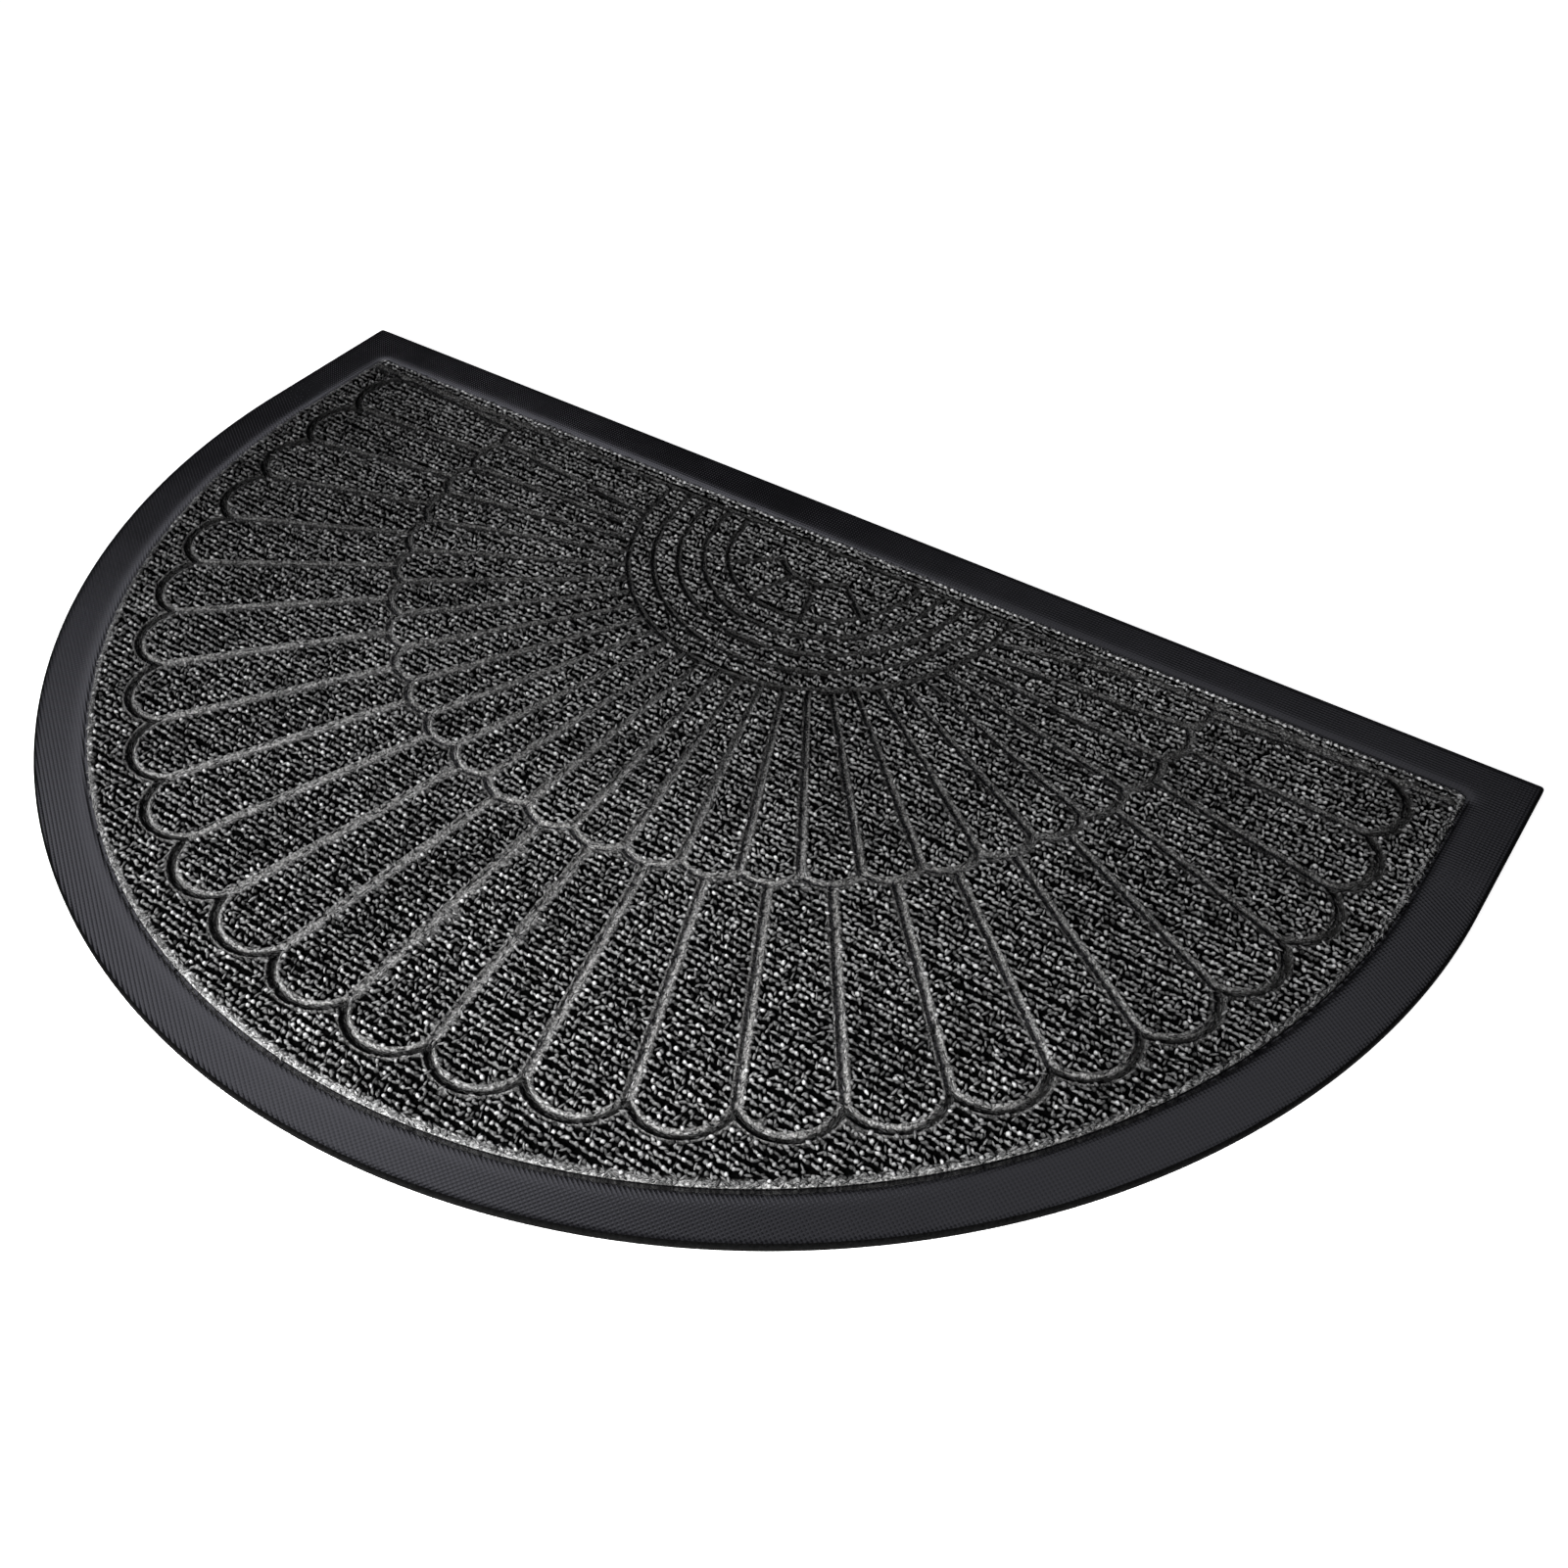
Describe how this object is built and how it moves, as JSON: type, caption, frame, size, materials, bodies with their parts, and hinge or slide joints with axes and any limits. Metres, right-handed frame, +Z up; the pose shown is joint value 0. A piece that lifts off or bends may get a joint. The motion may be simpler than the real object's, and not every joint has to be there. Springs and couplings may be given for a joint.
{
  "type": "half-round doormat",
  "caption": "Half-round entrance doormat: a moulded rubber base with a looped textile pad pressed into a fan of petals, for wiping shoes at a door.",
  "frame": {"origin": "middle of the mat's bounding box, on the floor under it", "axes": "+X along the straight back edge, +Y towards that edge, +Z up"},
  "size_m": [0.8, 0.5, 0.008],
  "materials": {
    "rubber": "satin, with a fine cloth imprint",
    "textile": "looped pile, charcoal heather"
  },
  "bodies": {
    "root": {"rubber_base": "rubber", "textile_pad": "textile"}
  },
  "joints": []
}
